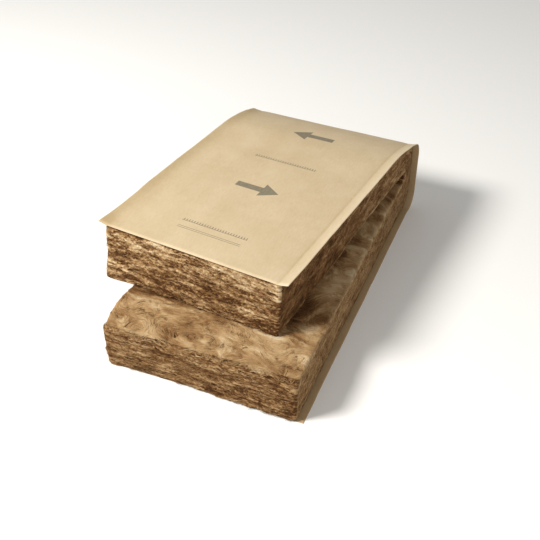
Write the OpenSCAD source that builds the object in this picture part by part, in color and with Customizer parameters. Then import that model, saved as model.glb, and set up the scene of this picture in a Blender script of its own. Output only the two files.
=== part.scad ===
// Kraft-faced glass-wool insulation batt, folded in half with its facing outside.
// The fold is at +Y, the two cut ends are at -Y, and the lower leg lies on the floor.
// The origin is on the floor, at the centre of the footprint.

/* [Batt] */
// Width of the glass-wool blanket
wool_w = 584; // [380:1:610]
// Width of the stapling flange along each long edge of the facing
flange_w = 21; // [10:1:40]
// Thickness of the kraft facing
facing_t = 1; // [0.5:0.1:2]
// How far the facing reaches past the wool at both cut ends
facing_overhang = 4; // [0:0.5:10]

/* [Legs] */
// Length of the upper leg, from the line where the legs swing apart to its cut end
upper_len = 896; // [600:1:1050]
// Length of the lower leg, from the line where the legs swing apart to its cut end
lower_len = 1087; // [600:1:1300]
// Angle between the two legs, seen from above
splay = 6.9; // [0:0.1:12]
// Thickness of the upper leg's wool at its cut end
upper_end_t = 166; // [150:1:170]
// Thickness of the lower leg's wool at its cut end
lower_end_t = 143; // [120:1:145]
// How far the foot of the upper leg's cut end leans forward
end_lean = 17; // [0:1:40]

/* [Fold] */
// Height of the folded batt at the upper leg's cut end
front_h = 317; // [315:1:330]
// Height of the folded batt where its top starts to round down to the fold
back_h = 306; // [300:1:315]
// Thickness of the wool where it turns
turn_t = 72; // [65:1:90]
// How far the crotch of the fold lies behind the line where the legs swing apart
crotch_y = 7; // [3:0.5:15]
// Radius of the long shoulder before the fold
shoulder_r = 700; // [600:10:900]
// Radius of the fold's upper corner
upper_corner_r = 70; // [60:1:75]
// Radius of the fold's lower corner
lower_corner_r = 59; // [30:1:70]
// Height of the centre of the fold's upper corner
upper_corner_z = 197; // [185:1:205]
// Height of the gap between the legs near the fold
gap_h = 44; // [20:1:48]
// Height of the middle of that gap
gap_z = 150; // [145:1:155]

/* [Hidden] */

// Straight pieces that make up each round of the outline
arc_steps = 12;

lean = splay / 2;
facing_w = wool_w + 2 * flange_w;
wool_rgb = [0.58, 0.44, 0.28];
facing_rgb = [0.84, 0.71, 0.52];

// Larger than the whole batt, for the pieces that only cut
reach = 2000;

// The profile is drawn in the plane of Y and Z, with y = 0 where the legs swing apart.
// Sizes of the outline are those of the wool, and a skin grows them outwards.
wool_front_z = front_h - facing_t;
wool_back_z = back_h - facing_t;
back_y = crotch_y + turn_t;
upper_corner_y = back_y - upper_corner_r;
lower_corner_y = back_y - lower_corner_r;
lower_corner_z = facing_t + lower_corner_r;

// The shoulder's arc starts level and runs into the upper corner's arc without a kink.
shoulder_z = wool_back_z - shoulder_r;
shoulder_y = upper_corner_y - sqrt(pow(shoulder_r - upper_corner_r, 2) - pow(upper_corner_z - shoulder_z, 2));
shoulder_turn = atan2(upper_corner_y - shoulder_y, upper_corner_z - shoulder_z);

// The gap between the legs: narrow at the cut ends, and round at the crotch
gap_r = gap_h / 2;
gap_end_y = crotch_y - gap_r;
gap_front_low = facing_t + lower_end_t;
gap_front_high = wool_front_z - upper_end_t;
gap_widens_from = -0.62 * upper_len;
gap_widens_to = -0.27 * upper_len;

// Shift that brings the footprint's centre to the origin
centre_x = (lower_len - upper_len) * sin(lean) / 2;
centre_y = (back_y + facing_t - lower_len * cos(lean) - facing_w / 2 * sin(lean)) / 2;

// Points of an arc about (y, z), after its first one. Angles run from +Z towards +Y.
function arc(y, z, r, from, to) = [
    for (i = [1:arc_steps])
        let (angle = from + (to - from) * i / arc_steps)
            [y + r * sin(angle), z + r * cos(angle)]
];

// Outline of the folded batt seen from the side, with the legs running on towards -Y
module side_outline(skin) {
    front_slope = (wool_front_z - wool_back_z) / (upper_len + shoulder_y);

    polygon(concat(
        [
            [-reach, facing_t - skin],
            [-reach, wool_back_z + skin + front_slope * (reach + shoulder_y)],
            [shoulder_y, wool_back_z + skin]
        ],
        arc(shoulder_y, shoulder_z, shoulder_r + skin, 0, shoulder_turn),
        arc(upper_corner_y, upper_corner_z, upper_corner_r + skin, shoulder_turn, 90),
        [[back_y + skin, lower_corner_z]],
        arc(lower_corner_y, lower_corner_z, lower_corner_r + skin, 90, 180)
    ));
}

// The open space between the legs
module gap_outline() {
    polygon(concat(
        [
            [-reach, gap_front_low],
            [-reach, gap_front_high],
            [gap_widens_from, gap_front_high],
            [gap_widens_to, gap_z + gap_r],
            [gap_end_y, gap_z + gap_r]
        ],
        arc(gap_end_y, gap_z, gap_r, 0, 180),
        [
            [gap_widens_to, gap_z - gap_r],
            [-upper_len, gap_front_low]
        ]
    ));
}

// Turns a drawing of Y and Z into a block that is w wide along X
module across(w) {
    rotate([90, 0, 90])
        linear_extrude(height = w, center = true)
            children();
}

// The space of one leg: w wide, from its cut end at len to the line where the legs part.
// turn swings the leg's cut end sideways, and foot moves the bottom of its end forward.
module leg_space(w, len, turn, foot, z_low, z_high) {
    intersection() {
        rotate([0, 0, turn])
            across(w)
                polygon([
                    [-len - foot, z_low],
                    [reach, z_low],
                    [reach, z_high],
                    [-len, z_high]
                ]);
        across(2 * reach)
            translate([-reach, -reach])
                square([reach, 2 * reach]);
    }
}

// Gives a side outline its shape in plan: both legs, and the turn between them
module folded(w, overhang, foot) {
    intersection() {
        across(2 * reach)
            children();
        union() {
            leg_space(w, upper_len + overhang, -lean, foot, gap_z, reach);
            leg_space(w, lower_len + overhang, lean, 0, -reach, gap_z);
            across(w / cos(lean))
                translate([0, -reach])
                    square([reach, 2 * reach]);
        }
    }
}

module centred() {
    translate([-centre_x, -centre_y, 0])
        children();
}

module wool_blanket() {
    color(wool_rgb)
        centred()
            folded(wool_w, -facing_overhang, end_lean)
                difference() {
                    side_outline(0);
                    gap_outline();
                }
}

module kraft_facing() {
    color(facing_rgb)
        centred()
            folded(facing_w, 0, 0)
                difference() {
                    side_outline(facing_t);
                    side_outline(0);
                }
}

wool_blanket();
kraft_facing();
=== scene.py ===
"""A kraft-faced glass-wool batt, folded in half with its facing outside.

The wool is one closed mesh, bent from a slab, with small closed locks of fibre on its bare faces. The facing
is one thin closed sheet along the wool's outside.

Everything is in metres, in the frame's own axes: the fold at +Y, the cut ends at -Y, the floor at z = 0. On
the blanket, x runs across and s along, from the upper cut end round the fold to the lower one. depth runs
through it, from its inside to its facing, and t is the same as a share of the thickness.
"""
import math

import bmesh
import bpy
import numpy as np
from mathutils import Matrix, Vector


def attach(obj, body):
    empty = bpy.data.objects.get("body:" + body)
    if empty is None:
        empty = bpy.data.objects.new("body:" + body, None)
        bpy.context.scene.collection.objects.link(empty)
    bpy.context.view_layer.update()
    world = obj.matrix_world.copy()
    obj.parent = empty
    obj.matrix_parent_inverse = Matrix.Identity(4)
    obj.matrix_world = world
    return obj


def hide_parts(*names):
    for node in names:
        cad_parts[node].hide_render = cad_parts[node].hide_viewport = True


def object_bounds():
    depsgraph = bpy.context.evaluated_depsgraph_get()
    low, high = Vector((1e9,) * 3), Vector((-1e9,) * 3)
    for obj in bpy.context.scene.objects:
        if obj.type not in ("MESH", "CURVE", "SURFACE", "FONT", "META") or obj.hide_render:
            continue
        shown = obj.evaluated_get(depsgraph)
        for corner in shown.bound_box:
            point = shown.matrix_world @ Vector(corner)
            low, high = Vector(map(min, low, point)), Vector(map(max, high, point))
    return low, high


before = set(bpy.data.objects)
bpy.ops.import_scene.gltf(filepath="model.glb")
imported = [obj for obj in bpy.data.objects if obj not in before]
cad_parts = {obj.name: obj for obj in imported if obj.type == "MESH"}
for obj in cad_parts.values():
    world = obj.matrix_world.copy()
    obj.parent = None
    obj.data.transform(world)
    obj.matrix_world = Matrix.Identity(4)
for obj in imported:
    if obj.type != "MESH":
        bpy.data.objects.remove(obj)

CAD_LOW, CAD_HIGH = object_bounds()

# ---------------- driving sizes, as in the part's source
WOOL_W = 0.584
FLANGE_W = 0.021
FACING_T = 0.001
OVERHANG = 0.004  # of the facing past both cut ends
UPPER_LEN, LOWER_LEN = 0.896, 1.087
LEAN = math.radians(6.9 / 2)  # of each leg to its side, seen from above
UPPER_END_T, LOWER_END_T = 0.166, 0.143
END_LEAN = 0.017  # of the upper cut end's foot, forward
FRONT_H, BACK_H = 0.317, 0.306
TURN_T, CROTCH_Y = 0.072, 0.007
SHOULDER_R, UPPER_CORNER_R, LOWER_CORNER_R = 0.700, 0.070, 0.059
UPPER_CORNER_Z = 0.197
GAP_H, GAP_Z = 0.044, 0.150

# The visual mesh's own: softer bends of the gap and of the upper foot, and the length over which a leg's
# cross lines turn to its lean.
GAP_EASE, FOOT_H = 0.05, 0.16
SWING_LEN = 0.5

HALF_W = WOOL_W / 2
BACK_Y = CROTCH_Y + TURN_T
GAP_R = GAP_H / 2
GAP_END_Y = CROTCH_Y - GAP_R
UPPER_END_Y = -(UPPER_LEN - OVERHANG)
LOWER_END_Y = -(LOWER_LEN - OVERHANG)
GAP_WIDENS_FROM, GAP_WIDENS_TO = -0.62 * UPPER_LEN, -0.27 * UPPER_LEN
OPEN_LEN = LOWER_LEN - UPPER_LEN

# The legs are built with y = 0 where they swing apart, and moved by this much into the middle of the CAD box.
CENTRE_X = OPEN_LEN * math.sin(LEAN) / 2
CENTRE_Y = BACK_Y + FACING_T - CAD_HIGH.y


# ---------------- noise
def hashed(ix, iy, iz, seed):
    """A repeatable number from 0 to 1 for each lattice point."""
    n = ix * 374761393 + iy * 668265263 + iz * 2147483647 + seed * 974634777
    n = (n ^ (n >> 13)) * 1274126177
    n = (n ^ (n >> 16)) & 0x7FFFFFFF
    return n / 0x7FFFFFFF


def noise(x, y, z, seed=0):
    """Smooth value noise from -1 to 1."""
    x, y, z = np.broadcast_arrays(x, y, z)
    ix, iy, iz = (np.floor(v).astype(np.int64) for v in (x, y, z))
    fx, fy, fz = x - ix, y - iy, z - iz
    fx, fy, fz = (f * f * f * (f * (f * 6 - 15) + 10) for f in (fx, fy, fz))
    total = 0.0
    for dx in (0, 1):
        for dy in (0, 1):
            for dz in (0, 1):
                weight = (fx if dx else 1 - fx) * (fy if dy else 1 - fy) * (fz if dz else 1 - fz)
                total = total + weight * hashed(ix + dx, iy + dy, iz + dz, seed)
    return total * 2 - 1


def fbm(x, y, z, seed=0, octaves=3, gain=0.5):
    """Noise with finer and fainter copies of itself added."""
    total, size, reach = 0.0, 1.0, 0.0
    for n in range(octaves):
        total = total + size * noise(x * 2**n, y * 2**n, z * 2**n, seed + 31 * n)
        reach += size
        size *= gain
    return total / reach


def smooth(a, b, v):
    """0 below a, 1 above b, and a smooth step between."""
    f = np.clip((v - a) / (b - a), 0, 1)
    return f * f * (3 - 2 * f)


# ---------------- the folded batt as a bent slab
def arc(y, z, r, start, stop, steps=24):
    """Points of an arc in the side view. Angles run from +Z towards +Y, in radians."""
    angle = np.linspace(start, stop, steps + 1)[1:]
    return np.stack([y + r * np.sin(angle), z + r * np.cos(angle)], 1)


def outer_line():
    """The wool's outside in the side view, from the upper cut end, round the fold, to the lower cut end."""
    front_z, back_z = FRONT_H - FACING_T, BACK_H - FACING_T
    corner_y = BACK_Y - UPPER_CORNER_R
    shoulder_z = back_z - SHOULDER_R
    rise = UPPER_CORNER_Z - shoulder_z
    run = math.sqrt((SHOULDER_R - UPPER_CORNER_R) ** 2 - rise**2)
    shoulder_y = corner_y - run
    turn = math.atan2(run, rise)
    low_z = FACING_T + LOWER_CORNER_R
    low_y = BACK_Y - LOWER_CORNER_R
    end_z = back_z + (front_z - back_z) * (-UPPER_END_Y + shoulder_y) / (UPPER_LEN + shoulder_y)
    return np.concatenate([
        [[UPPER_END_Y, end_z], [shoulder_y, back_z]],
        arc(shoulder_y, shoulder_z, SHOULDER_R, 0, turn),
        arc(corner_y, UPPER_CORNER_Z, UPPER_CORNER_R, turn, math.pi / 2),
        [[BACK_Y, low_z]],
        arc(low_y, low_z, LOWER_CORNER_R, math.pi / 2, math.pi),
        [[LOWER_END_Y, FACING_T]],
    ])


class Slab:
    """The blanket as stations along its length, each with a point on its outside and one on its inside."""

    def __init__(self, step=0.0082, turn_steps=64):
        line = outer_line()
        top = line[: np.argmax(line[:, 0]) + 1]
        upper_y = np.linspace(UPPER_END_Y, GAP_END_Y, int((GAP_END_Y - UPPER_END_Y) / step) + 1)
        lower_y = np.linspace(GAP_END_Y, LOWER_END_Y, int((GAP_END_Y - LOWER_END_Y) / step) + 1)
        low, high = GAP_Z - GAP_R, GAP_Z + GAP_R
        front_high = FRONT_H - FACING_T - UPPER_END_T
        front_low = FACING_T + LOWER_END_T

        upper_out = np.stack([upper_y, np.interp(upper_y, top[:, 0], top[:, 1])], 1)
        widening = smooth(GAP_WIDENS_FROM - GAP_EASE, GAP_WIDENS_TO + GAP_EASE, upper_y)
        upper_z = front_high + (high - front_high) * widening
        foot = END_LEAN * smooth(FOOT_H, 0, upper_y - UPPER_END_Y)
        upper_in = np.stack([upper_y - foot, upper_z], 1)

        lower_out = np.stack([lower_y, np.full_like(lower_y, FACING_T)], 1)
        lower_z = front_low + (low - front_low) * smooth(-UPPER_LEN, GAP_WIDENS_TO, lower_y)
        lower_in = np.stack([lower_y, lower_z], 1)

        # Round the fold, the stations are rays from the middle of the gap's round end.
        middle = np.array([GAP_END_Y, GAP_Z])
        angle = np.linspace(math.pi / 2, -math.pi / 2, turn_steps + 1)[1:-1]
        reach = self.reach(line, middle, angle)
        facing = np.stack([np.cos(angle), np.sin(angle)], 1)
        turn_out = middle + facing * reach[:, None]
        turn_in = middle + facing * GAP_R

        self.out = np.concatenate([upper_out, turn_out, lower_out])
        self.inn = np.concatenate([upper_in, turn_in, lower_in])
        self.s = self.length((self.out + self.inn) / 2)
        self.thick = np.hypot(*(self.out - self.inn).T)
        self.middle = self.s[len(upper_out) + len(turn_out) // 2]

    @staticmethod
    def reach(line, middle, angle):
        """How far the outside is from the middle along each ray, read from a finely cut line."""
        steps = np.concatenate([[0], np.cumsum(np.hypot(*np.diff(line, axis=0).T))])
        fine = np.linspace(0, steps[-1], 6000)
        cut = np.stack([np.interp(fine, steps, line[:, 0]), np.interp(fine, steps, line[:, 1])], 1) - middle
        ray = np.arctan2(cut[:, 1], cut[:, 0])
        seen = np.abs(ray) <= math.pi / 2 + 0.1
        order = np.argsort(ray[seen])
        return np.interp(angle, ray[seen][order], np.hypot(*cut[seen].T)[order])

    @staticmethod
    def length(points):
        """The length of a line up to each of its points."""
        return np.concatenate([[0], np.cumsum(np.hypot(*np.diff(points, axis=0).T))])

    def at(self, s, t):
        """Side-view points at length s and share t of the thickness, 0 on the inside and 1 on the outside."""
        y = np.interp(s, self.s, self.inn[:, 0]) * (1 - t) + np.interp(s, self.s, self.out[:, 0]) * t
        z = np.interp(s, self.s, self.inn[:, 1]) * (1 - t) + np.interp(s, self.s, self.out[:, 1]) * t
        return y, z


def place(x, y, z, leg):
    """Moves side-view points, at distance x across, to where the splayed legs hold them.

    leg is 1 above and -1 below.
    """
    back = np.minimum(y, 0)
    swing = smooth(0, SWING_LEN, -y)
    spread = 1 / math.cos(LEAN) * (1 - swing) + math.cos(LEAN) * swing
    px = x * spread + leg * back * math.sin(LEAN) - CENTRE_X
    py = np.where(y < 0, y * math.cos(LEAN), y) - leg * x * math.sin(LEAN) * swing - CENTRE_Y
    return np.stack(np.broadcast_arrays(px, py, z), -1)


slab = Slab()
LENGTH = slab.s[-1]


# ---------------- relief of the wool
# Radii of the worn edges: from cut end to side, from side to inside, and of the inside at a cut end.
EDGE_R, LONG_EDGE_R, INSIDE_END_R = 0.012, 0.008, 0.016

# Radii of the upper and the lower cut end at the inside.
UPPER_FOOT_R, LOWER_BROW_R = 0.005, 0.018

# How far a point on an edge counts as being from the other face there: a cut end, or the side or inside.
EASE_BY_END, EASE_BY_SIDE = 0.009, 0.0033

# The wool's mesh stops this far inside the slab's outer face, behind the facing.
BEHIND = 0.0025

# What the soft wool does at its cut ends, and how far the upper leg presses into the lower one.
SAG, OVERHANG_SAG = 0.004, 0.014
UPPER_FLARE, LOWER_FLARE, LOWER_BULGE = 0.007, 0.006, 0.015
UPPER_FOOT_OUT, LOWER_FOOT_OUT = 0.008, 0.010
RECESS_DEPTH = 0.0095
PRESSED_DEPTH = 0.0035

# How uneven the left side's inner edge is, and how far its tufts stand out near the cut ends.
PULL, TUFT_OUT = 0.0034, 0.0075


def strata(x, s, depth):
    """Wavy layers that run along the blanket, their lumps and their finest streaks, each from about -1 to 1.

    The upper leg is torn and its layers swirl. The lower leg's lie flatter.
    """
    torn = np.where(s < slab.middle, 1.0, 0.35)
    bend = 0.0060 * noise(x / 0.13, s / 0.13, depth / 0.09, 11)
    bend = bend + 0.0050 * torn * noise(x / 0.055, s / 0.055, depth / 0.028, 12)
    deep = depth + bend
    layers = fbm(x / 0.060, s / 0.060, deep / 0.0056, 1, 2)
    lumps = fbm(x / 0.0160, s / 0.0160, deep / 0.0052, 2, 2) * (0.45 + 0.55 * torn)
    fine = noise(x / 0.0052, s / 0.0052, deep / 0.0034, 3)
    return layers, lumps, fine


def pits(x, s, depth):
    """Torn holes between the layers, 0 where there is none."""
    bend = 0.005 * noise(x / 0.09, s / 0.09, depth / 0.06, 21)
    holes = noise(x / 0.0078, s / 0.0078, (depth + bend) / 0.0046, 22)
    crowd = noise(x / 0.045, s / 0.045, depth / 0.026, 24)
    return smooth(0.26, 0.62, holes + 0.34 * crowd)


def stream(x, s):
    """A height map of the blanket's inside whose contours are the paths that its fibres swirl along."""
    return s / 0.11 + 1.15 * noise(x / 0.16, s / 0.13, 0.3, 31) + 0.50 * noise(x / 0.065, s / 0.055, 0.7, 32)


def stream_heading(x, s, step=0.002):
    """The direction of the contours of stream(), as an angle from x towards s."""
    slope_x = stream(x + step, s) - stream(x - step, s)
    slope_s = stream(x, s + step) - stream(x, s - step)
    return np.arctan2(-slope_x, slope_s)


def hills(x, s):
    """Soft swells of the blanket's inside, and the folds and pale wisps that follow its swirls."""
    swell = fbm(x / 0.12, s / 0.09, 0.5, 33, 2)
    folds = fbm(stream(x, s) * 2.1, x / 0.16, s / 0.16, 34, 3, 0.6)
    wisps = smooth(0.05, 0.60, fbm(stream(x, s) * 5.5, x / 0.060, s / 0.060, 36, 2))
    return swell, folds, wisps


def rounding(distance, radius=EDGE_R):
    """How far a face sinks near an edge that wears round."""
    return -0.55 * radius * (1 - np.clip(distance / radius, 0, 1)) ** 2


def cut_relief(x, s, depth, to_side, to_outside, rough):
    """Height and tone of the cut ends: torn layers, and a ragged recess along the facing in painted shade.

    The upper end is paler near the facing and darker at its foot.
    """
    layers, lumps, fine = strata(x, s, depth)
    holes = pits(x, s, depth)
    uneven = noise(x / 0.16, s / 0.16, depth / 0.07, 41)
    tuft = noise(x / 0.045, s / 0.045, depth / 0.022, 42)
    above = s < slab.middle
    share = depth / (depth + to_outside)
    lower_foot = LOWER_FOOT_OUT * smooth(-0.10, 0.25, x) * share
    foot = np.where(above, UPPER_FOOT_OUT * smooth(0.5, 0, share), lower_foot)
    gap_edge = np.where(above, rounding(depth, UPPER_FOOT_R), rounding(depth, LOWER_BROW_R))
    ragged = noise(x / 0.030, 0.2, 0.9, 48) + 0.5 * noise(x / 0.009, 0.2, 0.4, 49)
    recess = smooth(0.0115 + 0.0050 * ragged, 0.0025, to_outside) * np.clip(0.62 + 0.60 * ragged, 0.1, 1)
    flock = smooth(0.30, 0.70, noise(x / 0.048, s / 0.048, (depth + 0.2 * x) / 0.019, 50))
    height = 0.0030 * uneven + 0.0016 * tuft + 0.0006 * layers + 0.0004 * lumps + 0.0005 * flock
    height = height + (0.0002 * fine - 0.0014 * holes) * rough
    height = height + rounding(to_side) + gap_edge + foot - RECESS_DEPTH * recess
    upper = 0.15 * smooth(0.50, 0.95, share) - 0.06 * smooth(0.45, 0.1, share)
    # The paler patch at the right corner by the facing is a painted highlight.
    upper = upper + 0.14 * smooth(0.24, 0.285, x) * smooth(0.55, 0.85, share)
    lower = 0.03 * smooth(0.6, 0.1, share) - 0.05
    # The holes are darker with painted shade, on top of their real depth.
    tone = 0.27 + 0.34 * layers + 0.17 * lumps + 0.24 * fine + 0.05 * tuft + 0.20 * flock - 0.34 * holes
    # The recess along the facing is darkened with painted shade, besides its real depth.
    tone = tone + np.where(above, upper, lower) - 0.62 * recess
    return height, tone


def sawn_relief(x, s, depth, to_end, to_outside, rough):
    """Height and tone of the sawn sides, which are flatter, and darker along the upper leg with painted
    shade.
    """
    layers, lumps, fine = strata(x, s, depth)
    holes = pits(x, s, depth)
    uneven = noise(x / 0.16, s / 0.11, depth / 0.05, 43)
    crumple = noise(x / 0.05, s / 0.040, depth / 0.026, 44) * np.where(s < slab.middle, 1.0, 0.4)

    pulled = np.where(x < 0, PULL * noise(s / 0.030, depth / 0.030, 0.5, 49), 0) * smooth(0.06, 0.02, depth)
    tufted = TUFT_OUT * np.maximum(noise(s / 0.05, depth / 0.018, 0.5, 56), -0.1) * (x < 0)
    tufted = tufted * smooth(0.10, 0.03, to_end) * smooth(0.025, 0.045, to_outside)
    height = 0.0022 * uneven + 0.0018 * crumple + 0.0006 * layers + 0.0004 * lumps + pulled + tufted
    height = height + (0.0002 * fine - 0.0017 * holes) * rough
    height = height * smooth(0, 0.012, to_outside) - 0.001
    height = height + rounding(to_end) + rounding(depth, LONG_EDGE_R)
    # Painted shade: the upper leg's side is darker than the lower one's, most of all towards its cut end.
    towards_fold = smooth(0.25, 0.75, s / slab.middle)
    tone = np.where(s < slab.middle, 0.19 + 0.17 * towards_fold, 0.40)
    # The holes are darker with painted shade, on top of their real depth.
    tone = tone + 0.13 * layers + 0.17 * lumps + 0.12 * fine + 0.10 * crumple - 0.22 * holes
    # Painted shade darkens it just under the facing, and a painted highlight lightens its edge along the
    # inside.
    tone = tone - 0.15 * smooth(0.006, 0.001, to_outside) + 0.16 * smooth(0.014, 0.003, depth)
    return height, tone


def soft_relief(x, s, to_end, to_side, rough):
    """Height and tone of the blanket's inside: cottony swirls with broad cream patches."""
    swell, folds, wisps = hills(x, s)
    fine = noise(x / 0.0100, s / 0.0100, 0.4, 45)
    patch = fbm(x / 0.075, s / 0.055, 0.6, 46, 2)
    hollow = smooth(0.50, 0.90, noise(x / 0.014, s / 0.010, 0.2, 47))
    height = 0.0044 * swell + 0.0030 * folds + 0.0008 * wisps + (0.0006 * fine - 0.0044 * hollow) * rough

    # Behind the upper cut end the legs press on each other: both faces are flatter, and the lower one sunken.
    covered = LENGTH - s - OPEN_LEN
    pressed = smooth(-0.02, 0.02, covered) * smooth(0.55, 0.15, covered)
    free = np.where(s < slab.middle, smooth(0, 0.45, s), 1 - pressed)
    height = height * (0.35 + 0.65 * free) - PRESSED_DEPTH * pressed
    height = height + rounding(to_end, INSIDE_END_R) + rounding(to_side, LONG_EDGE_R)

    # Painted shade: the lower leg is darker under the upper one and behind its foot, and both are dark in the
    # fold's crease.
    # The tone is higher on the upper leg's inside, and on the lower one further in under the upper leg.
    edge_x = HALF_W - 2 * math.sin(LEAN) * (UPPER_LEN - covered)
    under = smooth(edge_x + 0.040, edge_x - 0.005, x) * smooth(-0.036, -0.010, covered)
    painted_shade_behind_foot = pressed * smooth(0.22, 0.08, covered) * smooth(0.02, 0.20, x)
    crease = smooth(0.16, 0.05, np.abs(s - slab.middle))
    # The hollows are darker with painted shade, on top of their real depth.
    tone = 0.40 + 0.20 * folds + 0.30 * wisps + 0.28 * patch + 0.06 * fine - 0.16 * hollow
    tone = tone - 0.22 * under * (s > slab.middle) - 0.10 * painted_shade_behind_foot
    tone = tone + 0.16 * smooth(0.08, 0.26, covered) - 0.34 * crease
    return height, tone


def wool_point(x, s, t, end, side, inside, lift=0.0, rough=1.0):
    """Points of the wool's surface and their tones, for x across, s along and t through the blanket.

    The flags end, side and inside say which faces a point lies on.
    """
    thick = np.interp(s, slab.s, slab.thick)
    depth = t * thick
    to_end = np.minimum(s, LENGTH - s)
    to_side = HALF_W - np.abs(x)
    to_outside = thick - depth

    # Towards the inside, the left edge flares out at the cut ends, and bulges where the lower leg comes out
    # from under the upper one. The upper end sags, most of all where it overhangs at its left.
    above = s < slab.middle
    near_end = smooth(0.20, 0, to_end) * (1 - t)
    bulge = smooth(0, 0.15, to_end) * smooth(0.60, 0.25, to_end) * (1 - t)
    out = np.where(above, UPPER_FLARE * near_end, LOWER_FLARE * near_end + LOWER_BULGE * bulge)
    flare = smooth(0.02, -HALF_W, x) * out
    sag = SAG * near_end + OVERHANG_SAG * smooth(-0.17, -HALF_W, x) * near_end
    y, z = slab.at(s, t)
    base = place(x - flare, y, np.where(above, z - sag, z), np.where(above, 1.0, -1.0))

    step = 0.003
    ahead, behind = slab.at(s + step, 0 * t), slab.at(s - step, 0 * t)
    run_y, run_z = ahead[0] - behind[0], ahead[1] - behind[1]
    run = np.maximum(np.hypot(run_y, run_z), 1e-9)
    none = np.zeros_like(run)
    n_inside = np.stack([none, run_z / run, -run_y / run], -1)
    n_side = np.stack([np.sign(x), none, none], -1)
    n_end = np.stack([none, none - 1, none], -1)

    # On an edge, the faces that meet there share the rounding, or it would be a groove.
    eased = to_end + EASE_BY_END * end
    cut, cut_tone = cut_relief(x, s, depth, to_side, to_outside, rough)
    sawn, sawn_tone = sawn_relief(x, s, depth + EASE_BY_SIDE * inside, eased, to_outside, rough)
    soft, soft_tone = soft_relief(x, s, eased, to_side + EASE_BY_SIDE * side, rough)
    moved = (
        n_end * (end * (cut + lift))[..., None]
        + n_side * (side * (sawn + lift))[..., None]
        + n_inside * (inside * (soft + lift))[..., None]
    )
    # The tones carry the painted shade and painted highlights of the reliefs, and the locks take them on too.
    tone = end * cut_tone + side * sawn_tone + inside * soft_tone
    return base + moved, tone / np.maximum(end + side + inside, 1)


# ---------------- meshes
def new_mesh(name, verts, polys, uv=None, attributes=None):
    """A mesh object from points and a list of arrays, each with one row of corners per face.

    uv has one row per corner. attributes maps a name to one number, or one vector, per corner.
    """
    mesh = bpy.data.meshes.new(name)
    corners = np.concatenate([p.ravel() for p in polys]).astype(np.int32)
    counts = np.concatenate([np.full(len(p), p.shape[1]) for p in polys])
    starts = np.concatenate([[0], np.cumsum(counts)[:-1]]).astype(np.int32)
    mesh.vertices.add(len(verts))
    mesh.vertices.foreach_set("co", np.asarray(verts, np.float32).ravel())
    mesh.loops.add(len(corners))
    mesh.loops.foreach_set("vertex_index", corners)
    mesh.polygons.add(len(starts))
    mesh.polygons.foreach_set("loop_start", starts)
    if uv is not None:
        layer = mesh.uv_layers.new(name="OFBake", do_init=False)
        layer.uv.foreach_set("vector", np.asarray(uv, np.float32).ravel())
    for key, values in (attributes or {}).items():
        flat = values.ndim == 1
        layer = mesh.attributes.new(key, "FLOAT" if flat else "FLOAT_VECTOR", "CORNER")
        layer.data.foreach_set("value" if flat else "vector", np.asarray(values, np.float32).ravel())
    mesh.update(calc_edges=True)
    mesh.validate()
    mesh.polygons.foreach_set("use_smooth", np.ones(len(mesh.polygons), bool))
    piece = bpy.data.objects.new(name, mesh)
    bpy.context.scene.collection.objects.link(piece)
    return piece


# ---------------- the blanket's body
# Columns and rows of the sides and the inside, and how many times finer the cut ends are.
BODY_COLS, BODY_ROWS, FINER = 76, 24, 4

# The last column and row of the finer grid, in which every point is numbered.
RIGHT, TOP = BODY_COLS * FINER, BODY_ROWS * FINER


def grid_key(i, j, k):
    """One number for each grid point of the body: i along, j across and k through the blanket."""
    return (i * (RIGHT + 1) + j) * (TOP + 1) + k


def grid_point(key):
    """The i, j and k of a grid point's number."""
    return key // ((RIGHT + 1) * (TOP + 1)), key // (TOP + 1) % (RIGHT + 1), key % (TOP + 1)


def quads_of(*corners):
    """Faces of four corners, from one array for each corner."""
    return np.stack(corners, -1).reshape(-1, 4)


def body_faces(last):
    """Faces of the closed grid, as arrays of grid numbers. last is the last station along the blanket.

    Next to each cut end, a strip of faces with more corners joins its finer grid to the rest.
    """
    key = grid_key
    along, across = np.meshgrid(np.arange(1, last - 1), np.arange(BODY_COLS) * FINER, indexing="ij")
    polys = [quads_of(
        key(along, across, 0), key(along + 1, across, 0),
        key(along + 1, across + FINER, 0), key(along, across + FINER, 0),
    )]
    along, through = np.meshgrid(np.arange(1, last - 1), np.arange(BODY_ROWS) * FINER, indexing="ij")
    for side in (0, RIGHT):
        polys.append(quads_of(
            key(along, side, through), key(along + 1, side, through),
            key(along + 1, side, through + FINER), key(along, side, through + FINER),
        ))
    i = np.arange(1, last - 1)
    polys.append(quads_of(key(i, 0, TOP), key(i + 1, 0, TOP), key(i + 1, RIGHT, TOP), key(i, RIGHT, TOP)))

    across, through = np.meshgrid(np.arange(RIGHT), np.arange(TOP), indexing="ij")
    steps = np.arange(FINER + 1)
    for e, n in ((0, 1), (last, last - 1)):
        polys.append(quads_of(
            key(e, across, through), key(e, across + 1, through),
            key(e, across + 1, through + 1), key(e, across, through + 1),
        ))
        j = (np.arange(BODY_COLS) * FINER)[:, None]
        polys.append(np.concatenate([key(e, j + steps, 0), key(n, j + FINER, 0), key(n, j, 0)], 1))
        k = (np.arange(BODY_ROWS) * FINER)[:, None]
        for side in (0, RIGHT):
            strip = [key(e, side, k + steps), key(n, side, k + FINER), key(n, side, k)]
            polys.append(np.concatenate(strip, 1))
        rim = np.concatenate([key(e, np.arange(RIGHT + 1), TOP), [key(n, RIGHT, TOP), key(n, 0, TOP)]])
        polys.append(rim[None])
    return polys


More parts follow.
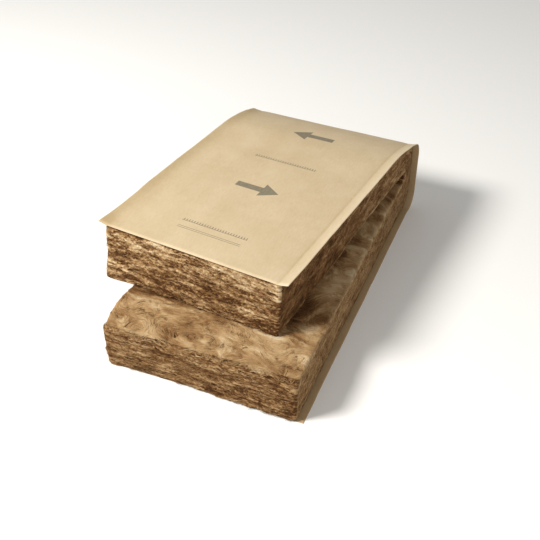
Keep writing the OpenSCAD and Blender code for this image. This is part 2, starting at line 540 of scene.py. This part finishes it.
def wool_body():
    """The blanket as one closed mesh, with its tone and the run of its fibres as attributes."""
    last = len(slab.s) - 1
    polys = body_faces(last)
    used = np.unique(np.concatenate([p.ravel() for p in polys]))
    polys = [np.searchsorted(used, p) for p in polys]
    i, j, k = grid_point(used)
    x = (j / RIGHT * 2 - 1) * HALF_W
    s = slab.s[i]
    t = k / TOP * (1 - BEHIND / slab.thick[i])
    end = ((i == 0) | (i == last)).astype(float)
    side = ((j == 0) | (j == RIGHT)).astype(float)
    inside = (k == 0).astype(float)
    points, tone = wool_point(x, s, t, end, side, inside)

    # The grain runs along the layers, and on the inside along the swirls.
    corners = np.concatenate([p.ravel() for p in polys])
    layered = np.stack([x, s, t * slab.thick[i]], -1)
    swirled = np.stack([0.35 * x, 0.35 * s, 0.11 * stream(x, s)], -1)
    on_inside = np.concatenate([np.repeat(inside[p].all(1), p.shape[1]) for p in polys])
    grain = np.where(on_inside[:, None], swirled[corners], layered[corners])
    piece = new_mesh("wool_body", points, polys, attributes={"tone": tone[corners], "grain": grain})
    bm = bmesh.new()
    bm.from_mesh(piece.data)
    bmesh.ops.recalc_face_normals(bm, faces=bm.faces)
    bm.to_mesh(piece.data)
    bm.free()
    return piece


# ---------------- fibres
# The range of single threads' widths, and how far the tips of all locks sink into the wool.
THREAD_W = (0.0004, 0.0009)
TIP_SINK = 0.0014

# Most of the inside's locks are within this length of the lower cut end.
OPEN_REACH = 0.32


def strands(name, points, up, width, height, tone):
    """Slender closed locks of fibre.

    points is (strands, points, 3), up is the way they stand from the wool, and width, height and tone
    have one value a strand.
    """
    count, steps = points.shape[:2]
    along = np.gradient(points, axis=1)
    along /= np.maximum(np.linalg.norm(along, axis=2, keepdims=True), 1e-9)
    across = np.cross(along, up)
    across /= np.maximum(np.linalg.norm(across, axis=2, keepdims=True), 1e-9)
    rise = np.cross(across, along)
    taper = np.sin(np.linspace(0, math.pi, steps)) ** 0.6
    half = (width[:, None] / 2 * taper)[..., None]
    tall = (height[:, None] * taper)[..., None]
    rings = np.stack([points + across * half, points + rise * tall, points - across * half], 2)
    inner = rings[:, 1:-1].reshape(count, -1, 3)
    verts = np.concatenate([points[:, :1], inner, points[:, -1:]], 1)
    each = verts.shape[1]
    ring_count = steps - 2

    quads, tris = [], []
    for r in range(ring_count - 1):
        for c in range(3):
            a, b = 1 + 3 * r + c, 1 + 3 * r + (c + 1) % 3
            quads.append([a, b, b + 3, a + 3])
    for c in range(3):
        tris.append([0, 1 + (c + 1) % 3, 1 + c])
        tris.append([each - 1, each - 4 + c, each - 4 + (c + 1) % 3])
    base = (np.arange(count) * each)[:, None, None]
    quads = (base + np.array(quads)).reshape(-1, 4)
    tris = (base + np.array(tris)).reshape(-1, 3)

    # On the map, a lock lies at its tone from left to right, and runs from bottom to top.
    ring_of = np.concatenate([[0], np.repeat(np.arange(1, steps - 1), 3), [steps - 1]]) / (steps - 1)
    shift = np.concatenate([[0], np.tile([-1, 0, 1], ring_count), [0]]) * 0.004
    tone = np.clip(tone, 0.01, 0.99)
    on_map = np.broadcast_arrays(tone[:, None] + shift[None], 0.05 + 0.9 * ring_of[None])
    uv = np.stack(on_map, -1).reshape(-1, 2)
    corners = np.concatenate([quads.ravel(), tris.ravel()])
    return new_mesh(name, verts.reshape(-1, 3), [quads, tris], uv=uv[corners])


def wander(rng, a, b, heading, length, curl, steps):
    """Paths on a flat sheet, centred on (a, b), along a heading with a steady curl and a little unrest."""
    turn = heading[:, None] + curl[:, None] * np.linspace(-0.5, 0.5, steps - 1)
    turn = turn + rng.normal(0, 0.12, turn.shape)
    pace = (length / (steps - 1))[:, None]
    zero = np.zeros((len(a), 1))
    pa = a[:, None] + np.concatenate([zero, np.cumsum(np.cos(turn) * pace, 1)], 1)
    pb = b[:, None] + np.concatenate([zero, np.cumsum(np.sin(turn) * pace, 1)], 1)
    return pa - (pa.mean(1, keepdims=True) - a[:, None]), pb - (pb.mean(1, keepdims=True) - b[:, None])


def lock_sizes(rng, count, thin_share, wide, bulk):
    """Which locks are single thin threads, and every lock's width and height.

    wide is the range of the other locks' widths, and bulk is their least height as a share of the width.
    """
    thin = rng.random(count) < thin_share
    width = np.where(thin, rng.uniform(*THREAD_W, count), rng.uniform(*wide, count))
    height = np.where(thin, 0.8, rng.uniform(bulk, 1.8 * bulk, count)) * width
    return thin, width, height


def lifted(rng, thin, steps, low, high, stray=0.24):
    """Heights over the wool along each lock. Most lie flat, from low to high, and their tips are sunken.

    A share stray of the threads stands out in an arc.
    """
    count = len(thin)
    base = rng.uniform(low, high, count)
    loose = rng.random(count) < np.where(thin, stray, 0.03)
    proud = np.where(loose, rng.gamma(2.0, 0.0015, count), 0)
    bow = np.sin(np.linspace(0, math.pi, steps))
    lift = base[:, None] + proud[:, None] * bow
    lift[:, [0, -1]] -= TIP_SINK
    return lift


def end_fibres(name, seed, s_end, count, swirl):
    """Short flocks and threads on a cut end, which follow its layers and swirl a little."""
    rng = np.random.default_rng(seed)
    steps = 4
    thick = np.interp(s_end, slab.s, slab.thick)
    x = rng.uniform(-HALF_W, HALF_W, count)
    depth = rng.uniform(0.0, thick - BEHIND, count)
    wild = rng.random(count) < 0.07
    heading = rng.normal(0, 0.14 + 0.16 * swirl, count)
    heading = heading + swirl * noise(x / 0.050, depth / 0.028, 0.5, seed + 3)
    heading = np.where(wild, rng.uniform(-1.5, 1.5, count), heading)
    thin, width, height = lock_sizes(rng, count, 0.60, (0.0010, 0.0022), 0.14)
    length = np.where(thin, rng.uniform(0.007, 0.022, count), rng.uniform(0.005, 0.012, count))
    curl = rng.normal(0, 0.5 + 0.7 * swirl, count)

    # A few are long pale threads that lie along a layer.
    long = thin & (rng.random(count) < 0.10)
    width = np.where(long, rng.uniform(0.0007, 0.0013, count), width)
    length = np.where(long, rng.uniform(0.025, 0.075, count), length)
    heading, curl = np.where(long, 0.35 * heading, heading), np.where(long, 0.4 * curl, curl)
    px, pd = wander(rng, x, depth, heading, length, curl, steps)
    px = np.clip(px, -HALF_W, HALF_W)
    pd = np.clip(pd, 0, thick - BEHIND)
    lift = lifted(rng, thin, steps, -0.0008, 0.0002)
    none = np.zeros_like(px)
    points, tone = wool_point(px, none + s_end, pd / thick, none + 1, none, none, lift, 0.8)
    up = np.broadcast_to([0.0, -1.0, 0.0], points.shape)
    tone = tone.mean(1) + rng.normal(0.02, 0.09, count) + 0.16 * long
    return strands(name, points, up, width, height, tone)


def side_fibres(name, seed, sign, count):
    """Finer locks along the sawn side of both legs and the fold."""
    rng = np.random.default_rng(seed)
    steps = 4
    s = rng.uniform(0, LENGTH, count)
    thick = np.interp(s, slab.s, slab.thick)
    depth = rng.uniform(0, 1, count) * (thick - BEHIND)
    wild = rng.random(count) < 0.08
    heading = rng.normal(0, 0.14, count) + 0.35 * noise(s / 0.06, depth / 0.03, 0.5, seed + 3)
    heading = np.where(wild, rng.uniform(-1.5, 1.5, count), heading)
    thin, width, height = lock_sizes(rng, count, 0.50, (0.0012, 0.0026), 0.12)
    length = np.where(thin, rng.uniform(0.012, 0.030, count), rng.uniform(0.008, 0.018, count))
    ps, pd = wander(rng, s, depth, heading, length, rng.normal(0, 0.5, count), steps)
    ps = np.clip(ps, 0.001, LENGTH - 0.001)
    pt = np.clip(pd, 0, (thick - BEHIND)[:, None]) / thick[:, None]
    lift = lifted(rng, thin, steps, -0.0007, 0.0006)
    none = np.zeros_like(ps)
    points, tone = wool_point(none + sign * HALF_W, ps, pt, none, none + 1, none, lift, 0.7)
    up = np.broadcast_to([float(sign), 0.0, 0.0], points.shape)
    tone = tone.mean(1) + rng.normal(0.02, 0.06, count)
    return strands(name, points, up, width, height, tone)


def inside_fibres(name, seed, count):
    """Long combed locks along the swirls of the inside, most of them where the lower leg lies open."""
    rng = np.random.default_rng(seed)
    steps = 5
    x = rng.uniform(-HALF_W, HALF_W, count)
    part = rng.random(count)
    open_part = rng.uniform(LENGTH - OPEN_REACH, LENGTH, count)
    lower_part = rng.uniform(slab.middle, LENGTH - OPEN_REACH, count)
    upper_part = rng.uniform(0, slab.middle, count)
    s = np.where(part < 0.56, open_part, np.where(part < 0.90, lower_part, upper_part))
    wild = rng.random(count) < 0.06
    heading = stream_heading(x, s) + rng.normal(0, 0.15, count)
    heading = np.where(wild, rng.uniform(-math.pi, math.pi, count), heading)
    by_edge = smooth(0.040, 0.0, LENGTH - s)
    heading = np.arctan2(np.sin(heading) * (1 - 0.85 * by_edge), np.cos(heading))
    thin, width, height = lock_sizes(rng, count, 0.60, (0.0014, 0.0032), 0.16)
    length = np.where(wild, rng.uniform(0.012, 0.030, count), rng.uniform(0.020, 0.052, count))
    px, ps = wander(rng, x, s, heading, length, rng.normal(0, 0.5, count), steps)
    px = np.clip(px, -HALF_W, HALF_W)
    ps = np.clip(ps, 0.0005, LENGTH - 0.0005)
    lift = lifted(rng, thin, steps, -0.0006, 0.0003, 0.12)
    none = np.zeros_like(px)
    points, tone = wool_point(px, ps, none, none, none, none + 1, lift, 0.7)
    up = np.broadcast_to([0.0, 0.0, 1.0], points.shape)
    tone = tone.mean(1) + np.where(thin, 0.05, 0.02) + rng.normal(0, 0.05, count)
    return strands(name, points, up, width, height, tone)


# ---------------- the kraft facing
SHEET_T = 0.0006
EDGE_X = HALF_W + FLANGE_W
CREASE_X = HALF_W - 0.013

# Lengths along the facing from its upper edge: where its mesh is fine, and where it leaves the top and meets
# the floor.
FINE_FROM, FINE_TO = 0.84, 1.26
TOP_ENDS = (0.86, 1.06)
FLOOR_STARTS = (1.20, 1.34)

# How high the flanges lift along the top at the right and left, round the fold, and on the floor.
RIGHT_LIFT, LEFT_LIFT, FOLD_LIFT, FLOOR_LIFT = 0.0070, 0.0035, 0.0030, 0.0022

# Lengths from the lower edge: where the left flange starts to turn up, where it stands, and where the sheet
# starts to draw back. DRAW_BACK is how far it draws back from the side and from the cut end.
TUCK_FROM, TUCK_TO, DRAW_BACK_FROM = 0.26, 0.10, 0.06
DRAW_BACK = 0.009
TUCK_ANGLE, TUCK_GAP = 1.45, 0.002
FLOOR_GAP = 0.0002


def facing_rows(line):
    """Lengths along the facing where its mesh has a row, closer round the fold, and the whole length."""
    total = Slab.length(line)[-1]
    top, floor = np.linspace(0, FINE_FROM, 60), np.linspace(FINE_TO, total, 60)
    return np.concatenate([top[:-1], np.linspace(FINE_FROM, FINE_TO, 80)[:-1], floor]), total


def facing_relief(r, c):
    """How the sheet stands off the wool's outside, r along it and c across it.

    Gives its height, how far its edge wanders sideways, and the flange and the crease as shares from 0 to 1.
    """
    side = np.sign(c)
    flange = np.clip((np.abs(c) - CREASE_X) / (EDGE_X - CREASE_X), 0, 1)
    on_top = 1 - smooth(*TOP_ENDS, r)
    on_floor = smooth(*FLOOR_STARTS, r)
    at_turn = 1 - on_top - on_floor
    wave = noise(r / 0.14, side * 3.3, 0.5, 51) + 0.4 * noise(r / 0.05, side * 3.3, 0.5, 52)
    raised = np.where(c > 0, RIGHT_LIFT, LEFT_LIFT) * on_top + FOLD_LIFT * at_turn + FLOOR_LIFT * on_floor
    lift = flange**1.4 * (raised + 0.0030 * wave * (on_top + at_turn) + 0.0016 * np.abs(wave) * on_floor)
    swell = 0.0008 * (1 + fbm(r / 0.19, c / 0.15, 0.5, 53, 2))
    swell = swell * smooth(0, 0.04, HALF_W - np.abs(c)) * (1 - on_floor)
    crease = np.exp(-(((c - CREASE_X) / 0.0035) ** 2)) * on_top
    buckle = 0.0007 * fbm(r / 0.030, c / 0.16, 0.4, 55, 2)
    buckle = buckle * smooth(0.80, 0.92, r) * (1 - smooth(1.16, 1.24, r))
    buckle = buckle * (1 + 1.2 * smooth(0.16, HALF_W, np.abs(c)))
    height = FACING_T + lift + swell + np.maximum(buckle, -0.0006) - 0.0006 * crease - 0.0004
    wander_out = 0.0012 * noise(r / 0.06, side * 7.7, 0.5, 54) * smooth(0.6, 1, flange)
    return height, wander_out, flange, crease


def facing_painted_light(r, c, flange, crease):
    """Painted light and shade: paler along the right flange as a painted highlight, darker along its crease
    and along the left flange as painted shade, most of all at the left one's front corner.
    """
    corner = smooth(0.10, 0, r) * smooth(HALF_W - 0.03, EDGE_X, -c)
    left = -0.8 * smooth(HALF_W - 0.06, EDGE_X, -c) - 1.2 * corner
    return np.where(c > 0, 0.85 * flange**0.7 - 0.6 * crease, left)


def facing_sheet(cols=72):
    """The kraft sheet as one closed mesh: its outside, its inside, and a thin edge all round."""
    line = outer_line()
    line[0, 0], line[-1, 0] = -UPPER_LEN, -LOWER_LEN
    steps = Slab.length(line)
    run, total = facing_rows(line)
    rows = len(run) - 1

    def on_line(at):
        return np.stack([np.interp(at, steps, line[:, 0]), np.interp(at, steps, line[:, 1])], 1)

    middle = on_line(run)
    way = on_line(run + 0.004) - on_line(run - 0.004)
    way /= np.hypot(*way.T)[:, None]
    normal = np.stack([-way[:, 1], way[:, 0]], 1)
    leg = np.where(middle[:, 1:] >= GAP_Z, 1.0, -1.0)

    # The columns are closer towards both edges.
    crowd = 1.25
    x = np.sin(np.linspace(-1, 1, cols + 1) * crowd) / math.sin(crowd) * EDGE_X
    r, c = np.meshgrid(run, x, indexing="ij")
    out, wander_out, flange, crease = facing_relief(r, c)

    # Near the lower cut end, the left flange is turned up against the wool's side.
    side = np.sign(c)
    tuck = TUCK_ANGLE * smooth(total - TUCK_FROM, total - TUCK_TO, r) * (c < 0)
    fold_x = HALF_W + TUCK_GAP - DRAW_BACK * smooth(total - TUCK_TO, total, r)
    past = np.maximum(np.abs(c) - fold_x, 0)
    across = c + wander_out * side - side * past * (1 - np.cos(tuck))
    height = past * np.sin(tuck)
    set_back = DRAW_BACK * smooth(total - DRAW_BACK_FROM, total, r) * smooth(HALF_W, 0.15, c)

    def layer(offset, lowest):
        """One face of the sheet, at an offset from its outside and no lower than lowest."""
        y = middle[:, :1] + normal[:, :1] * (out + offset) + set_back
        z = np.maximum(middle[:, 1:] + normal[:, 1:] * (out + offset), lowest)
        return place(across + np.sin(tuck) * offset, y, z + height, leg).reshape(-1, 3)

    verts = np.concatenate([layer(0, FLOOR_GAP), layer(-SHEET_T, FLOOR_GAP + 0.0005)])
    wide = cols + 1
    i, j = np.meshgrid(np.arange(rows), np.arange(cols), indexing="ij")
    at = i * wide + j
    quads = np.stack([at, at + 1, at + wide + 1, at + wide], -1).reshape(-1, 4)
    back = quads[:, ::-1] + (rows + 1) * wide
    rim = np.concatenate([
        np.arange(cols), np.arange(rows) * wide + cols,
        rows * wide + cols - np.arange(cols), (rows - np.arange(rows)) * wide,
    ])
    follow = np.roll(rim, -1)
    hem = np.stack([follow, rim, rim + (rows + 1) * wide, follow + (rows + 1) * wide], -1)
    polys = [quads, back, hem]
    # The facing's painted light and shade becomes its pale attribute.
    pale = np.tile(facing_painted_light(r, c, flange, crease).ravel(), 2)
    sheet = np.tile(np.stack([c, r, 0 * r], -1).reshape(-1, 3), (2, 1))
    corners = np.concatenate([p.ravel() for p in polys])
    on_corners = {"pale": pale[corners], "sheet": sheet[corners]}
    piece = new_mesh("kraft_sheet", verts, polys, attributes=on_corners)
    slots = np.concatenate([np.zeros(len(quads)), np.ones(len(back)), np.zeros(len(hem))]).astype(np.int32)
    piece.data.polygons.foreach_set("material_index", slots)
    return piece


# ---------------- materials
def node_material(name):
    """A material with its shader and two helpers: one adds a node, the other a sum of a scaled value."""
    material = bpy.data.materials.new(name)
    material.use_nodes = True
    tree = material.node_tree
    shader = tree.nodes["Principled BSDF"]

    def add(kind, values=(), **links):
        node = tree.nodes.new(kind)
        for key, value in dict(values).items():
            if hasattr(node, key):
                setattr(node, key, value)
            else:
                node.inputs[key].default_value = value
        for key, source in links.items():
            tree.links.new(source, node.inputs[key])
        return node

    def scaled(source, factor, plus):
        """source times factor, plus a number or another output."""
        node = add("ShaderNodeMath", {"operation": "MULTIPLY_ADD"})
        tree.links.new(source, node.inputs[0])
        node.inputs[1].default_value = factor
        if isinstance(plus, float):
            node.inputs[2].default_value = plus
        else:
            tree.links.new(plus, node.inputs[2])
        return node.outputs[0]

    return material, shader, add, scaled


def fine_noise(add, where, scale, detail, roughness=0.5, stretch=None, distortion=0.0):
    """A noise's value, read at where, or at where stretched by three factors."""
    if stretch:
        where = add("ShaderNodeMapping", {"Scale": stretch}, Vector=where).outputs["Vector"]
    values = {"Scale": scale, "Detail": detail, "Roughness": roughness, "Distortion": distortion}
    return add("ShaderNodeTexNoise", values, Vector=where).outputs["Fac"]


def ramp_colour(add, fac, colours):
    """A colour read from a ramp through the (position, colour) pairs."""
    ramp = add("ShaderNodeValToRGB", Fac=fac)
    points = ramp.color_ramp.elements
    points[0].position, points[0].color = colours[0]
    points[1].position, points[1].color = colours[-1]
    for position, colour in colours[1:-1]:
        points.new(position).color = colour
    return ramp.outputs["Color"]


def feed(shader, socket, source):
    """Links an output to one of the shader's sockets."""
    shader.id_data.links.new(source, shader.inputs[socket])


# From the brown of a shaded pit to the cream of a bright flock.
WOOL = (
    (0.00, (0.060, 0.024, 0.007, 1)),
    (0.25, (0.178, 0.088, 0.032, 1)),
    (0.50, (0.375, 0.240, 0.115, 1)),
    (0.75, (0.530, 0.402, 0.244, 1)),
    (1.00, (0.690, 0.600, 0.440, 1)),
)


def lock_material():
    """The fibres: a lock's tone is its place from left to right on its map."""
    material, shader, add, _ = node_material("glass_fibre")
    on_map = add("ShaderNodeUVMap", {"uv_map": "OFBake"})
    split = add("ShaderNodeSeparateXYZ", Vector=on_map.outputs["UV"])
    feed(shader, "Base Color", ramp_colour(add, split.outputs["X"], WOOL))
    shader.inputs["Roughness"].default_value = 0.8
    shader.inputs["Specular IOR Level"].default_value = 0.15
    return material


def body_material():
    """The matted wool under the locks: its relief sets its tone, painted shade and highlights included, with
    finer streaks along its layers.
    """
    material, shader, add, scaled = node_material("glass_wool")
    tone = add("ShaderNodeAttribute", {"attribute_name": "tone"})
    grain = add("ShaderNodeAttribute", {"attribute_name": "grain"}).outputs["Vector"]
    streak = fine_noise(add, grain, 1.0, 4.0, 0.65, (95.0, 95.0, 300.0))
    thread = fine_noise(add, grain, 1.0, 3.0, 0.60, (260.0, 260.0, 900.0))
    base = scaled(tone.outputs["Fac"], 1.0, -0.50)
    base = scaled(streak, 0.56, base)
    base = scaled(thread, 0.40, base)
    feed(shader, "Base Color", ramp_colour(add, base, WOOL))
    bump = add("ShaderNodeBump", {"Strength": 0.5, "Distance": 0.0010}, Height=streak)
    feed(shader, "Normal", bump.outputs["Normal"])
    shader.inputs["Roughness"].default_value = 0.9
    shader.inputs["Specular IOR Level"].default_value = 0.1
    return material


# Plain marks on the facing, as distances from its upper edge: two arrows, two scales and two thin rules.
ARROWS = ((0.388, 1.0), (0.775, -1.0))
SCALES = (0.139, 0.571)
RULES = (0.106, 0.099)
INK = (0.125, 0.115, 0.080, 1)


class Marks:
    """Masks, 1 where there is ink, in the facing's own coordinates: x across it and y along it."""

    def __init__(self, add):
        self.add = add
        self.sheet = add("ShaderNodeAttribute", {"attribute_name": "sheet"}).outputs["Vector"]

    def math(self, operation, a, b):
        node = self.add("ShaderNodeMath", {"operation": operation})
        for socket, value in zip(node.inputs, (a, b)):
            if isinstance(value, float):
                socket.default_value = value
            else:
                node.id_data.links.new(value, socket)
        return node.outputs[0]

    def around(self, along, across=0.0):
        """Coordinates measured from a point of the facing."""
        shifted = self.add("ShaderNodeVectorMath", {"operation": "SUBTRACT"})
        shifted.id_data.links.new(self.sheet, shifted.inputs[0])
        shifted.inputs[1].default_value = (across, along, 0)
        split = self.add("ShaderNodeSeparateXYZ", Vector=shifted.outputs[0])
        return split.outputs["X"], split.outputs["Y"]

    def within(self, value, half):
        return self.math("LESS_THAN", self.math("ABSOLUTE", value, 0.0), half)

    def bar(self, along, half_w, half_h, across=0.0):
        x, y = self.around(along, across)
        return self.math("MULTIPLY", self.within(x, half_w), self.within(y, half_h))

    def arrow(self, along, way, half_len=0.074, head=0.058, half_h=0.036, shaft=0.013):
        """A plain arrow across the facing. way is 1 or -1."""
        neck = half_len - head
        x, y = self.around(along)
        ahead = self.math("MULTIPLY", x, way)
        room = self.math("MULTIPLY", self.math("SUBTRACT", half_len, ahead), half_h / head)
        wedge = self.math("LESS_THAN", self.math("ABSOLUTE", y, 0.0), room)
        wedge = self.math("MULTIPLY", wedge, self.math("GREATER_THAN", ahead, neck))
        tail = (half_len + neck) / 2
        return self.math("MAXIMUM", wedge, self.bar(along, tail, shaft, way * (neck - tail)))

    def scale(self, along, half_len=0.110, pitch=0.0088, tick=0.0050):
        """A thin line with even ticks on one side."""
        x, _ = self.around(along)
        ticks = self.math("LESS_THAN", self.math("FRACT", self.math("DIVIDE", x, pitch), 0.0), 0.34)
        ticks = self.math("MULTIPLY", ticks, self.bar(along, half_len, tick))
        return self.math("MAXIMUM", ticks, self.bar(along - tick, half_len, 0.0011))

    def all(self):
        masks = [self.arrow(along, way) for along, way in ARROWS]
        masks += [self.scale(along) for along in SCALES]
        masks += [self.bar(along, 0.105, 0.0010) for along in RULES]
        total = masks[0]
        for mask in masks[1:]:
            total = self.math("MAXIMUM", total, mask)
        return total


def inked(add, colour, uneven):
    """The colour with the marks printed over it in thin, slightly uneven ink."""
    marks = Marks(add)
    spread = {"From Min": 0.3, "From Max": 0.7, "To Min": 0.72, "To Max": 0.92}
    cover = add("ShaderNodeMapRange", spread, Value=uneven)
    mix = add("ShaderNodeMix", {"data_type": "RGBA"})
    links = mix.id_data.links
    links.new(marks.math("MULTIPLY", marks.all(), cover.outputs["Result"]), mix.inputs["Factor"])
    links.new(colour, mix.inputs[6])
    mix.inputs[7].default_value = INK
    return mix.outputs[2]


def kraft_material(name, dark, light, printed):
    """Kraft paper: clouds, fine fibres and faint bands along the sheet, flecks, and soft wrinkles."""
    material, shader, add, scaled = node_material(name)
    where = add("ShaderNodeTexCoord").outputs["Object"]
    pale = add("ShaderNodeAttribute", {"attribute_name": "pale"})
    fibre = fine_noise(add, where, 1.0, 5.0, 0.60, (260.0, 60.0, 260.0))
    cloud = fine_noise(add, where, 11.0, 4.0, 0.55)
    band = fine_noise(add, where, 1.0, 3.0, 0.50, (16.0, 1.6, 16.0))
    speck = fine_noise(add, where, 420.0, 2.0)
    fleck = add("ShaderNodeMapRange", {"From Min": 0.66, "From Max": 0.74}, Value=speck)
    # The pale attribute is the facing's painted light and shade.
    shade = scaled(pale.outputs["Fac"], 0.45, -0.22)
    shade = scaled(fibre, 0.60, shade)
    shade = scaled(cloud, 0.55, shade)
    shade = scaled(band, 0.30, shade)
    shade = scaled(fleck.outputs["Result"], -0.35, shade)
    colour = ramp_colour(add, shade, ((0.0, dark), (1.0, light)))
    feed(shader, "Base Color", inked(add, colour, fibre) if printed else colour)
    wrinkle = fine_noise(add, where, 9.0, 2.0, distortion=0.6)
    soft = add("ShaderNodeBump", {"Strength": 0.35, "Distance": 0.004}, Height=wrinkle)
    weak = {"Strength": 0.25, "Distance": 0.0004}
    bump = add("ShaderNodeBump", weak, Height=fibre, Normal=soft.outputs["Normal"])
    feed(shader, "Normal", bump.outputs["Normal"])
    shader.inputs["Roughness"].default_value = 0.62
    return material


# ---------------- the pieces
def finish_piece(piece, node, slot, *materials):
    """Gives a piece its materials and its place in the part, and hides the CAD node that it stands for."""
    for material in materials:
        piece.data.materials.append(material)
    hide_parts(node)
    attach(piece, "root")
    return piece


body = finish_piece(wool_body(), "wool_blanket", "glass_wool", body_material())

fibre = lock_material()
for locks in (
    end_fibres("locks_upper_end", 101, 0.0, 13000, 0.6),
    end_fibres("locks_lower_end", 202, LENGTH, 13000, 0.25),
    inside_fibres("locks_inside", 303, 8000),
    side_fibres("locks_right_side", 404, 1, 8500),
    side_fibres("locks_left_side", 505, -1, 8500),
):
    finish_piece(locks, "wool_blanket", "glass_wool", fibre)

finish_piece(
    facing_sheet(), "kraft_facing", "kraft_paper",
    kraft_material("kraft_outside", (0.420, 0.312, 0.168, 1), (0.620, 0.512, 0.350, 1), True),
    kraft_material("kraft_inside", (0.200, 0.135, 0.070, 1), (0.420, 0.290, 0.150, 1), False),
)


# ---------------- floor, light and camera
def stage_floor():
    """A plain pale floor, far larger than the view."""
    mesh = bpy.data.meshes.new("floor")
    reach = 14.0
    corners = [(-reach, -reach, 0), (reach, -reach, 0), (reach, reach, 0), (-reach, reach, 0)]
    mesh.from_pydata(corners, [], [(0, 1, 2, 3)])
    floor = bpy.data.objects.new("floor", mesh)
    bpy.context.scene.collection.objects.link(floor)
    material, shader, _, _ = node_material("floor")
    shader.inputs["Base Color"].default_value = (0.88, 0.88, 0.87, 1)
    shader.inputs["Roughness"].default_value = 0.9
    mesh.materials.append(material)


def area_light(name, place_at, look_at, size, power, colour):
    """A round soft light at a place, turned to look at a point."""
    light = bpy.data.lights.new(name, "AREA")
    light.shape = "DISK"
    light.size, light.energy, light.color = size, power, colour
    lamp = bpy.data.objects.new(name, light)
    lamp.location = place_at
    lamp.rotation_euler = (Vector(look_at) - Vector(place_at)).to_track_quat("-Z", "Y").to_euler()
    bpy.context.scene.collection.objects.link(lamp)


stage_floor()
area_light("key", (-2.6, -2.6, 3.6), (0, 0, 0.1), 1.6, 350, (1.0, 0.97, 0.92))
area_light("fill", (2.8, -2.4, 2.2), (0, 0, 0.1), 3.0, 40, (1.0, 0.96, 0.90))

scene = bpy.context.scene
world = bpy.data.worlds.new("studio")
scene.world = world
world.use_nodes = True
world.node_tree.nodes["Background"].inputs["Color"].default_value = (1.0, 0.985, 0.96, 1)
world.node_tree.nodes["Background"].inputs["Strength"].default_value = 0.37
scene.view_settings.view_transform = "Standard"

CAMERA_PLACE = (0.954, -1.991, 1.7575)
CAMERA_DOWN, CAMERA_TURN = math.radians(38.43), math.radians(25.39)
camera = bpy.data.objects.new("camera", bpy.data.cameras.new("camera"))
camera.data.lens = 57.0
camera.location = CAMERA_PLACE
camera.rotation_euler = (math.pi / 2 - CAMERA_DOWN, 0, CAMERA_TURN)
scene.collection.objects.link(camera)
scene.camera = camera
